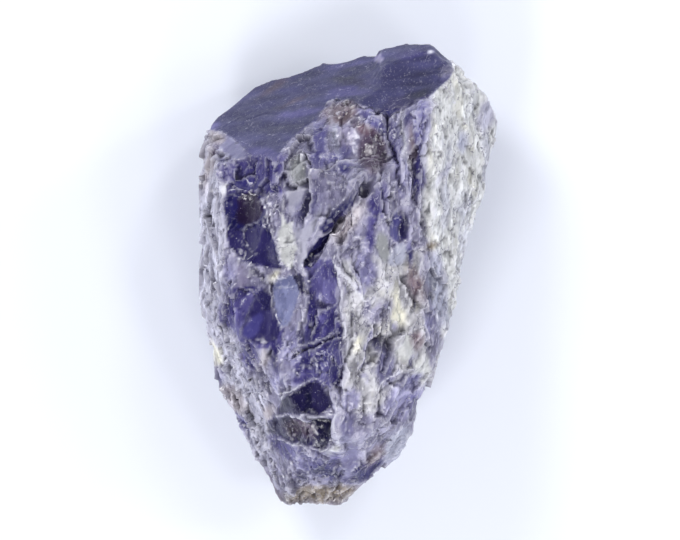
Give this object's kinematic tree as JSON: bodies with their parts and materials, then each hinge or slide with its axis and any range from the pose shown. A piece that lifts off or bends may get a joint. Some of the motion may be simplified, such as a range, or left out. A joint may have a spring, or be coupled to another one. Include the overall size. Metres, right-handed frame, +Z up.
{
  "type": "rough iolite crystal",
  "caption": "Rough tapered iolite crystal lying on its back, with a flat dark end, a fractured violet and pale front, and a blunt foot.",
  "frame": {"origin": "under the middle of the crystal's bounding box, on the surface that it rests on", "axes": "+Y along the crystal, towards its flat dark end; +Z up, out of its broad fractured front; +X towards its pale scaly side"},
  "size_m": [0.02, 0.031, 0.0141],
  "materials": {
    "crystal": "satin"
  },
  "bodies": {
    "root": {"crystal": "crystal"}
  },
  "joints": []
}
